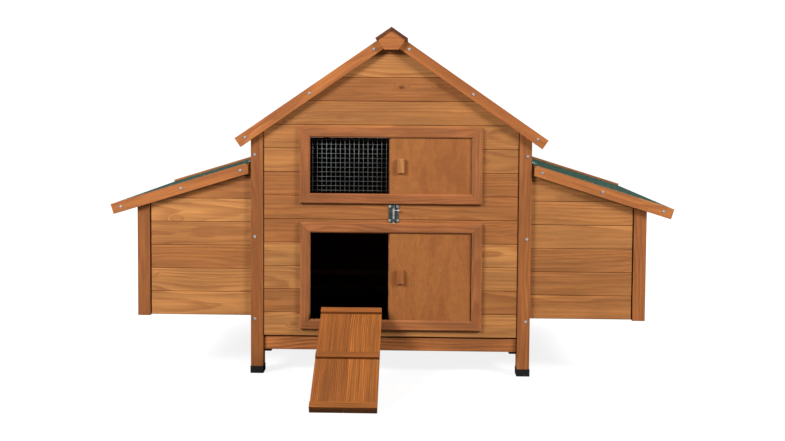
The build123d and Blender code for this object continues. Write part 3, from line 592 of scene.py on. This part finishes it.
green = felt()
bright_zinc = steel("galvanised_steel", linear(164, 170, 174), linear(208, 212, 214))
grey_zinc = steel("dull_steel", linear(70, 80, 80), linear(104, 114, 112))
dull_wire = wire()
black = plastic()
for side, sign in SIDES:
    wear(f"roof_felt_{side}", green)
    wear(f"lid_{side}_felt", green)
    wear(f"lid_{side}_fittings", bright_zinc)
for name in ("bolt_rod", "lid_hinge_leaves", "ramp_hinge_leaves", "house_screws"):
    wear(name, bright_zinc)
for name in ("bolt_plate", "ramp_hinge_plates"):
    wear(name, grey_zinc)
wear("foot_caps", black)

# ---------------------------------------------------------------- wire mesh

MESH_PITCH = 0.0127
WIRE_RADIUS = 0.00055
WIRE_SIDES = 8
TIP_LENGTH = 0.3 * WIRE_RADIUS
TIP_SHARE = 0.7

# How far the wires of each direction lie off the mesh's middle, as a share of their radius.
WIRE_OFFSET = 0.25


def wire_between(mesh, start, stop):
    """A straight round wire with slightly rounded ends."""
    axis = (stop - start).normalized()
    turn = axis.to_track_quat("Z", "X").to_matrix()
    rings = []
    stations = (
        (start, TIP_SHARE),
        (start + axis * TIP_LENGTH, 1.0),
        (stop - axis * TIP_LENGTH, 1.0),
        (stop, TIP_SHARE),
    )
    for place, share in stations:
        ring = []
        for step in range(WIRE_SIDES):
            angle = 2 * math.pi * step / WIRE_SIDES
            spoke = Vector((math.cos(angle), math.sin(angle), 0.0)) * WIRE_RADIUS * share
            ring.append(mesh.verts.new(place + turn @ spoke))
        rings.append(ring)
    for first, second in zip(rings, rings[1:]):
        for step in range(WIRE_SIDES):
            following = (step + 1) % WIRE_SIDES
            mesh.faces.new((first[step], first[following], second[following], second[step]))
    mesh.faces.new(tuple(reversed(rings[0])))
    mesh.faces.new(tuple(rings[-1]))


def add_piece(name, mesh, material):
    """A new object from a bmesh, smooth shaded."""
    bmesh.ops.recalc_face_normals(mesh, faces=mesh.faces)
    data = bpy.data.meshes.new(name)
    mesh.to_mesh(data)
    mesh.free()
    for face in data.polygons:
        face.use_smooth = True
    data.materials.append(material)
    piece = bpy.data.objects.new(name, data)
    scene.collection.objects.link(piece)
    return piece


def wire_mesh():
    """Welded wires, upright ones in front of level ones, sunk into each other at the welds."""
    low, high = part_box("window_mesh")
    middle = (low + high) / 2
    offset = WIRE_RADIUS * WIRE_OFFSET
    mesh = bmesh.new()
    columns = round((high.x - low.x) / MESH_PITCH)
    rows = round((high.z - low.z) / MESH_PITCH)
    for column in range(columns):
        x = middle.x + (column - (columns - 1) / 2) * MESH_PITCH
        y = middle.y - offset
        wire_between(mesh, Vector((x, y, low.z)), Vector((x, y, high.z)))
    for row in range(rows):
        z = middle.z + (row - (rows - 1) / 2) * MESH_PITCH
        y = middle.y + offset
        wire_between(mesh, Vector((low.x, y, z)), Vector((high.x, y, z)))
    piece = add_piece("window_wires", mesh, dull_wire)
    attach(piece, "house")
    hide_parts("window_mesh")


wire_mesh()

# ---------------------------------------------------------------- floor, light and camera

WHITE = (1, 1, 1, 1)
FLOOR_HALF = 14.0
FLOOR_DARK = (0.13, 0.13, 0.13, 1)
FLOOR_LIGHT = (0.15, 0.15, 0.15, 1)
GLOW_NEAR = 0.86
GLOW_FAR = 1.0
GLOW_NEAR_END = 1.0
GLOW_FAR_START = 4.0


def studio_floor():
    """A plain floor that glows white to the camera only, and still takes the coop's shadow."""
    g = Graph("studio_floor")
    place = g.place()
    tone = g.blend(g.grey_noise(place, 40.0, 3.0), FLOOR_DARK, FLOOR_LIGHT)
    g.surface(tone, 0.75, Emission_Color=WHITE)
    away = g.node("VectorMath", {0: place}, operation="LENGTH").outputs["Value"]
    glow = g.steps(away, GLOW_NEAR_END, GLOW_FAR_START, GLOW_NEAR, GLOW_FAR)
    seen = g.node("LightPath", {}).outputs["Is Camera Ray"]
    g.feed(g.shader.inputs["Emission Strength"], g.math("MULTIPLY", seen, glow))
    mesh = bmesh.new()
    bmesh.ops.create_grid(mesh, x_segments=8, y_segments=8, size=FLOOR_HALF)
    add_piece("studio_floor", mesh, g.material)


studio_floor()

AMBIENT = 0.1
BACKDROP = 1.1


def studio_world():
    """A backdrop that is white to the camera, and lights the coop only faintly."""
    world = bpy.data.worlds.new("studio")
    world.use_nodes = True
    backdrop = world.node_tree.nodes["Background"]
    backdrop.inputs["Color"].default_value = WHITE
    seen = world.node_tree.nodes.new("ShaderNodeLightPath").outputs["Is Camera Ray"]
    brightness = world.node_tree.nodes.new("ShaderNodeMapRange")
    brightness.inputs["To Min"].default_value = AMBIENT
    brightness.inputs["To Max"].default_value = BACKDROP
    world.node_tree.links.new(seen, brightness.inputs["Value"])
    world.node_tree.links.new(brightness.outputs["Result"], backdrop.inputs["Strength"])
    scene.world = world


studio_world()
scene.view_settings.view_transform = "Standard"

LIT_POINT = Vector((0, 0, 0.45))


def soft_box(name, place, size, power):
    """A square light that faces the middle of the coop."""
    data = bpy.data.lights.new(name, "AREA")
    data.size = size
    data.energy = power
    lamp = bpy.data.objects.new(name, data)
    lamp.location = place
    aim = LIT_POINT - lamp.location
    lamp.rotation_euler = aim.to_track_quat("-Z", "Y").to_euler()
    scene.collection.objects.link(lamp)


soft_box("left", Vector((-2.44, -1.81, 1.95)), 1.0, 166)
soft_box("right", Vector((2.86, -1.49, 2.05)), 0.8, 178)
soft_box("rear_left", Vector((-2.2, 2.4, 1.9)), 1.4, 70)
soft_box("rear_right", Vector((2.4, 2.2, 1.9)), 1.4, 70)

CAMERA_ASIDE = 0.0568
CAMERA_BEFORE_FRONT = 2.4341
CAMERA_HEIGHT = 0.7687
CAMERA_TILT = 87.324
CAMERA_ROLL = -0.389
CAMERA_TURN = 1.262
FOCAL_LENGTH = 40.88
SENSOR_WIDTH = 36.0
VERTICAL_SHIFT = -0.1045

lens = bpy.data.cameras.new("camera")
lens.sensor_width = SENSOR_WIDTH
lens.lens = FOCAL_LENGTH
lens.shift_y = VERTICAL_SHIFT
camera = bpy.data.objects.new("camera", lens)
front_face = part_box("post_front_left")[0].y
camera.location = (CAMERA_ASIDE, front_face - CAMERA_BEFORE_FRONT, CAMERA_HEIGHT)
camera_angles = (CAMERA_TILT, CAMERA_ROLL, CAMERA_TURN)
camera.rotation_euler = Euler([math.radians(angle) for angle in camera_angles])
scene.collection.objects.link(camera)
scene.camera = camera

bpy.context.view_layer.update()
